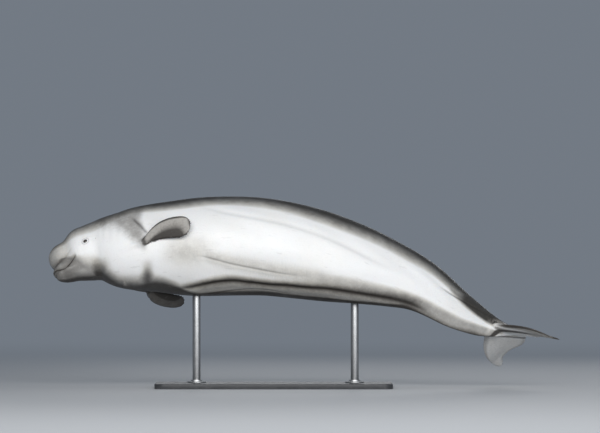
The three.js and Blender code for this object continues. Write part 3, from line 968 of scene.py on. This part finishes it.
def skin_material():
    material, tree, shader = new_material("whale_skin")
    where = attribute_node(tree, "place", "Vector")
    names = ("back", "nape_shade", "under", "shade", "fin", "margin", "fin_shade", "crease_shade")
    masks = {name: attribute_node(tree, name) for name in names}
    broad = noise(tree, where, 3.0, 5)
    blotch = noise(tree, where, 14.0, 5)
    grain = noise(tree, where, 60.0, 4)
    speck = noise(tree, where, 130.0, 3)
    marks = noise(tree, where, 26.0, 2, stretch=(0.25, 1.0, 2.2))

    def rim(name):
        """A mask times what it leaves: strongest at the mask's edge."""
        return maths(tree, "MULTIPLY", masks[name], maths(tree, "SUBTRACT", 1, masks[name]))

    def ragged(name, reach):
        """A mask with its edge broken up into mottling."""
        shift = maths(tree, "MULTIPLY_ADD", blotch, reach * 2, -reach)
        shift = maths(tree, "MULTIPLY_ADD", grain, reach, shift)
        shift = maths(tree, "SUBTRACT", shift, reach / 2)
        at_edge = maths(tree, "MULTIPLY", rim(name), 4)
        moved = maths(tree, "MULTIPLY_ADD", shift, at_edge, masks[name])
        return add(tree, "ShaderNodeClamp", {"Value": moved}).outputs[0]

    uneven = ramp(tree, grain, -0.6, 0.5)
    # painted shade, warmed where it fades, then the fins' own grey and dark edges, then marks and
    # specks
    colour = tinted(
        tree, WHITE,
        (CREAM, ramp(tree, broad, 0.42, 0.75), 0.35),
        (TAN, rim("back"), 1.6),
        (TAN, rim("under"), 1.6),
        (TAN, rim("shade"), 1.6),
        (GREY, ragged("nape_shade", 0.35), uneven),
        (GREY, ragged("under", 0.25), uneven),
        (BACK_SHADE, ragged("back", 0.2)),
        (DARK, ragged("shade", 0.2), 0.97),
        (FIN_GREY, masks["fin"], 0.97),
        (GREY, masks["fin"], ramp(tree, grain, 0.4, 0.75), 0.5),
        (DARK, ragged("fin_shade", 0.2), 0.92),
        (DARK, masks["margin"], 0.95),
        (DARK, masks["crease_shade"], 0.95),
        (GREY, ramp(tree, marks, 0.66, 0.72), 0.14),
        (GREY, ramp(tree, speck, 0.5, 0.8), 0.12),
    )
    wrinkle = noise(tree, where, 30.0, 4, stretch=(2.6, 0.8, 0.8))
    fine = noise(tree, where, 420.0, 2)
    height = maths(tree, "MULTIPLY_ADD", fine, 0.12, wrinkle)
    feed(tree, shader, {
        "Base Color": colour,
        "Roughness": maths(tree, "MULTIPLY_ADD", ramp(tree, blotch, 0.2, 0.8), 0.16, 0.44),
        "Normal": bump(tree, height, 0.004, 0.35),
        "Subsurface Weight": 0.08,
        "Subsurface Radius": (0.02, 0.014, 0.01),
        "Coat Weight": 0.04,
        "Coat Roughness": 0.25,
    })
    return material


# Pieces turned on a lathe
def lathe(name, profile, middle, columns=96, axis=(0, 0, 1)):
    """A closed turned piece: rows of (radius, height) from the bottom to the top."""
    turn = np.arange(columns) * 2 * np.pi / columns
    spin = Vector(axis).normalized().to_track_quat("Z", "Y").to_matrix()
    points = [(r * math.cos(t), r * math.sin(t), h) for r, h in profile[1:-1] for t in turn]
    points += [(0, 0, profile[0][1]), (0, 0, profile[-1][1])]
    bottom, top = len(points) - 2, len(points) - 1
    last = bottom - columns
    faces = [(bottom, (c + 1) % columns, c) for c in range(columns)]
    faces += bands(len(profile) - 2, columns)
    faces += [(top, last + c, last + (c + 1) % columns) for c in range(columns)]
    return new_object(name, [spin @ Vector(p) + Vector(middle) for p in points], faces)


RIM_STEPS = 5


def rounded(radius, height, edge, steps=RIM_STEPS):
    """A lathe profile of a disc or rod whose two rims are rounded."""
    bends = [math.pi / 2 * k / steps for k in range(steps + 1)]
    lower = [(radius - edge + edge * math.sin(b), edge - edge * math.cos(b)) for b in bends]
    upper = [(radius - edge + edge * math.cos(b), height - edge + edge * math.sin(b))
             for b in bends]
    return [(0, 0), *lower, *upper, (0, height)]


def stays(piece, material, slot, *nodes):
    piece.data.materials.append(material)
    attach(piece, "root")
    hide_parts(*nodes)


# Eyes: a ball that bulges in front, dark brown with a black pupil. The bulge's width and the ends
# of the pupil and iris are angles off the gaze, in radians.
GAZE = (-0.184, -0.971, -0.155)
EYE_BULGE, BULGE_WIDTH = 0.0011, 0.42
PUPIL_END, IRIS_END = (0.14, 0.2), (0.5, 0.62)
BALL_ROWS, BALL_COLUMNS = 40, 64


def eye_material():
    material, tree, shader = new_material("eye_wet")
    off = attribute_node(tree, "off")
    streaks = noise(tree, object_place(tree), 900.0, 3)
    iris = mixed(tree, streaks, (0.018, 0.01, 0.006), (0.055, 0.032, 0.018))
    colour = mixed(tree, ramp(tree, off, *PUPIL_END), (0.002, 0.002, 0.003), iris)
    colour = mixed(tree, ramp(tree, off, *IRIS_END), colour, (0.03, 0.022, 0.02))
    coat = {"Coat Weight": 1.0, "Coat Roughness": 0.03}
    feed(tree, shader, {"Base Color": colour, "Roughness": 0.12, **coat})
    return material


def make_eyes():
    material = eye_material()
    radius = EYE_RADIUS * UNIT - EYE_BULGE
    for name, side in SIDES.items():
        at = EYE * (1, side, 1)
        ends = posed(np.array([at, at + GAZE * np.array((1, -side, 1))]))
        gaze = ends[1] - ends[0]
        rows = []
        for k in range(BALL_ROWS + 1):
            bend = math.pi * k / BALL_ROWS
            reach = radius + EYE_BULGE * math.exp(-((math.pi - bend) / BULGE_WIDTH) ** 2)
            rows.append((reach * math.sin(bend), -reach * math.cos(bend)))
        middle = Vector(middle_of(f"eye_{name}"))
        ball = lathe(f"eyeball_{name}", rows, middle, BALL_COLUMNS, gaze)
        off = [Vector(gaze).angle(v.co - middle) for v in ball.data.vertices]
        attribute(ball.data, "off", off)
        stays(ball, material, "eye", f"eye_{name}")


# The stand
def paint_material():
    material, tree, shader = new_material("stand_paint")
    where = object_place(tree)
    cloud = noise(tree, where, 2.5, 5)
    dust = noise(tree, where, 35.0, 5)
    edges = add(tree, "ShaderNodeNewGeometry").outputs["Pointiness"]
    colour = tinted(
        tree, (0.03, 0.032, 0.035),
        ((0.042, 0.044, 0.048), ramp(tree, cloud, 0.3, 0.7)),
        ((0.16, 0.155, 0.15), ramp(tree, dust, 0.52, 0.8), 0.2),
        ((0.2, 0.2, 0.2), ramp(tree, edges, 0.52, 0.6), ramp(tree, dust, 0.4, 0.7), 0.5),
    )
    feed(tree, shader, {
        "Base Color": colour,
        "Roughness": maths(tree, "MULTIPLY_ADD", ramp(tree, dust, 0.3, 0.7), 0.18, 0.36),
        "Normal": bump(tree, noise(tree, where, 260.0, 2), 0.0006, 0.3),
    })
    return material


def steel_material():
    material, tree, shader = new_material("stand_steel")
    where = object_place(tree)
    brushed = noise(tree, where, 30.0, 4, stretch=(1.0, 1.0, 45.0))
    smear = noise(tree, where, 9.0, 4)
    colour = mixed(tree, brushed, (0.3, 0.305, 0.31), (0.42, 0.425, 0.43))
    colour = tinted(tree, colour, ((0.25, 0.25, 0.24), ramp(tree, smear, 0.5, 0.75), 0.3))
    feed(tree, shader, {
        "Base Color": colour,
        "Metallic": 1.0,
        "Roughness": maths(tree, "MULTIPLY_ADD", brushed, 0.18, 0.32),
        "Anisotropic": 0.4,
        "Normal": bump(tree, brushed, 0.0004, 0.35),
    })
    return material


CORNER, CORNER_STEPS = 0.08, 16
BEVEL, BEVEL_STEPS = 0.006, 6
LOWER_EDGE = [(0.004, 0), (0.0012, 0.0012), (0, 0.004)]  # how far in, and how high
PLATE_SHARP, STEEL_SHARP = math.radians(40), math.radians(35)


def make_plate():
    """The base: a plate with round corners and a rounded upper edge, from its solid's box."""
    low, high = corners_of("stand_base")
    middle, half = (low + high) / 2, (high - low) / 2
    outline = []
    for sx, sy, start in ((1, 1, 0), (-1, 1, 90), (-1, -1, 180), (1, -1, 270)):
        for k in range(CORNER_STEPS + 1):
            turn = math.radians(start + 90 * k / CORNER_STEPS)
            cx, cy = (half[0] - CORNER) * sx, (half[1] - CORNER) * sy
            outline.append((cx, cy, math.cos(turn), math.sin(turn)))
    steps = list(LOWER_EDGE)
    for k in range(BEVEL_STEPS + 1):
        b = math.pi / 2 * k / BEVEL_STEPS
        steps.append((BEVEL * (1 - math.cos(b)), high[2] - BEVEL + BEVEL * math.sin(b)))
    steps.append((CORNER * 0.6, high[2]))
    points, columns = [], len(outline)
    for inset, height in steps:
        reach = CORNER - inset
        for cx, cy, dx, dy in outline:
            points.append((middle[0] + cx + dx * reach, middle[1] + cy + dy * reach, height))
    faces = bands(len(steps), columns)
    faces.append(tuple(range(columns - 1, -1, -1)))
    faces.append(tuple((len(steps) - 1) * columns + c for c in range(columns)))
    plate = new_object("plate", points, faces)
    plate.data.set_sharp_from_angle(angle=PLATE_SHARP)
    return plate


def joined(name, pieces):
    """One object from several meshes."""
    mesh = bmesh.new()
    for piece in pieces:
        mesh.from_mesh(piece.data)
        bpy.data.objects.remove(piece)
    made = bpy.data.meshes.new(name)
    mesh.to_mesh(made)
    mesh.free()
    made.shade_smooth()
    made.set_sharp_from_angle(angle=STEEL_SHARP)
    return placed(name, made)


FOOT_RADIUS, FOOT_HEIGHT, COLLAR_RADIUS = 0.075, 0.012, 0.046
FOOT_EDGE, ROD_EDGE, SCREW_EDGE = 0.002, 0.0015, 0.001
SCREW_CIRCLE, SCREW_RADIUS, SCREW_HEIGHT = 0.0605, 0.0065, 0.005
SCREWS, SCREW_SUNK, SOCKET_DEPTH = 4, 0.001, 0.003


def make_foot(end):
    """A turned foot with a collar round the rod, and four screws with round sockets."""
    low, high = corners_of(f"stand_foot_{end}")
    x, y, _ = (low + high) / 2
    profile = rounded(FOOT_RADIUS, FOOT_HEIGHT, FOOT_EDGE)[:-1]
    profile.append((COLLAR_RADIUS + 0.005, FOOT_HEIGHT))
    profile.append((COLLAR_RADIUS + 0.0015, FOOT_HEIGHT + 0.0015))
    profile += rounded(COLLAR_RADIUS, high[2] - low[2], FOOT_EDGE)[RIM_STEPS + 2:]
    parts = [lathe(f"flange_{end}", profile, (x, y, low[2]))]
    head = rounded(SCREW_RADIUS, SCREW_HEIGHT, SCREW_EDGE, steps=3)[:-1]
    floor = SCREW_HEIGHT - SOCKET_DEPTH
    head += [(0.0036, SCREW_HEIGHT), (0.0034, floor), (0, floor)]
    for k in range(SCREWS):
        turn = math.radians(45 + 360 / SCREWS * k)
        at_x, at_y = x + SCREW_CIRCLE * math.cos(turn), y + SCREW_CIRCLE * math.sin(turn)
        at = (at_x, at_y, low[2] + FOOT_HEIGHT - SCREW_SUNK)
        parts.append(lathe(f"screw_{end}_{k}", head, at, columns=24))
    return joined(f"foot_{end}", parts), x, y


def make_stand():
    paint, steel = paint_material(), steel_material()
    stays(make_plate(), paint, "stand_base", "stand_base")
    for end in ("front", "rear"):
        foot, x, y = make_foot(end)
        stays(foot, steel, "stand_rod", f"stand_foot_{end}")
        low, high = corners_of(f"stand_rod_{end}")
        profile = rounded((high[0] - low[0]) / 2, high[2] - low[2], ROD_EDGE)
        rod = lathe(f"rod_{end}", profile, (x, y, low[2]))
        rod.data.set_sharp_from_angle(angle=STEEL_SHARP)
        stays(rod, steel, "stand_rod", f"stand_rod_{end}")


# The camera: level, far off, and centred as the photograph is
PIXELS_WIDE, PIXELS_HIGH = 600, 433
PIXELS_PER_METRE = 124.75
FACE_PIXEL = (48.5, 262.4)  # where the straight whale's face origin is in the photograph
CAMERA_AWAY = 60.0


def make_camera():
    camera = bpy.data.cameras.new("camera")
    camera.sensor_width = 36
    camera.lens = PIXELS_PER_METRE * CAMERA_AWAY * camera.sensor_width / PIXELS_WIDE
    camera.clip_end = 400
    made = placed("camera", camera)
    right = (PIXELS_WIDE / 2 - FACE_PIXEL[0]) / PIXELS_PER_METRE
    up = (FACE_PIXEL[1] - PIXELS_HIGH / 2) / PIXELS_PER_METRE
    made.location = (ORIGIN[0] + right, ORIGIN[1] - CAMERA_AWAY, ORIGIN[2] + up)
    made.rotation_euler = (math.pi / 2, 0, 0)
    bpy.context.scene.camera = made


# Soft lights, turned to one point: place, size, power, colour and spread in degrees
LIT_POINT = (0, 0, 1.1)
LIGHTS = {
    "key": ((-1.5, -20, 7.5), (15, 9), 3400, (1, 0.99, 0.975), 180),
    "fill": ((10, -16, 3), (9, 7), 800, (0.95, 0.97, 1), 180),
    "back": ((3, 17, 4.2), (10, 4), 30, (1, 1, 1), 60),
}
BACKDROP = (0.17, 0.195, 0.23, 1)
FLOOR_RADIUS, FLOOR_RINGS, FLOOR_COLUMNS = 90.0, 24, 96
FLOOR_FADE = (2.5, 24.0)  # where the floor starts and ends to turn into the backdrop


def make_lights():
    for name, (place, size, power, colour, spread) in LIGHTS.items():
        light = bpy.data.lights.new(name, "AREA")
        light.shape, light.size, light.size_y = "RECTANGLE", size[0], size[1]
        light.energy, light.color = power, colour
        light.spread = math.radians(spread)
        made = placed(name, light)
        made.location = place
        made.rotation_mode = "QUATERNION"
        way = Vector(LIT_POINT) - Vector(place)
        made.rotation_quaternion = way.to_track_quat("-Z", "Y")
        made.visible_camera = False


def make_floor():
    """A pale floor that fades into the background."""
    rings, columns = FLOOR_RINGS, FLOOR_COLUMNS
    turn = np.arange(columns) * 2 * np.pi / columns
    radii = FLOOR_RADIUS * (np.arange(1, rings + 1) / rings) ** 2
    points = [(0, 0, 0)] + [(r * math.cos(t), r * math.sin(t), 0) for r in radii for t in turn]
    faces = [(0, 1 + c, 1 + (c + 1) % columns) for c in range(columns)]
    faces += [face[::-1] for face in bands(rings, columns, start=1)]
    floor = new_object("floor", points, faces)
    material, tree, shader = new_material("floor")
    where = object_place(tree)
    far = add(tree, "ShaderNodeVectorMath", {0: where}, operation="LENGTH").outputs["Value"]
    grain = noise(tree, where, 60.0, 3)
    tint = mixed(tree, ramp(tree, grain, 0.3, 0.7), (0.52, 0.53, 0.54), (0.55, 0.56, 0.57))
    feed(tree, shader, {"Base Color": tint, "Roughness": 0.6})
    glow = add(tree, "ShaderNodeEmission", {"Color": BACKDROP, "Strength": 1.0})
    share = ramp(tree, far, *FLOOR_FADE)
    both = add(tree, "ShaderNodeMixShader", {0: share, 1: shader.outputs[0], 2: glow.outputs[0]})
    feed(tree, tree.nodes["Material Output"], {"Surface": both.outputs[0]})
    floor.data.materials.append(material)


def make_stage():
    make_floor()
    world = bpy.data.worlds.new("studio")
    bpy.context.scene.world = world
    world.use_nodes = True
    tree = world.node_tree
    feed(tree, tree.nodes["Background"], {"Color": BACKDROP, "Strength": 1.0})
    make_lights()
    bpy.context.scene.view_settings.view_transform = "Standard"


make_camera()
make_stage()
stays(make_skin(), skin_material(), "skin", *FLESH)
make_eyes()
make_stand()
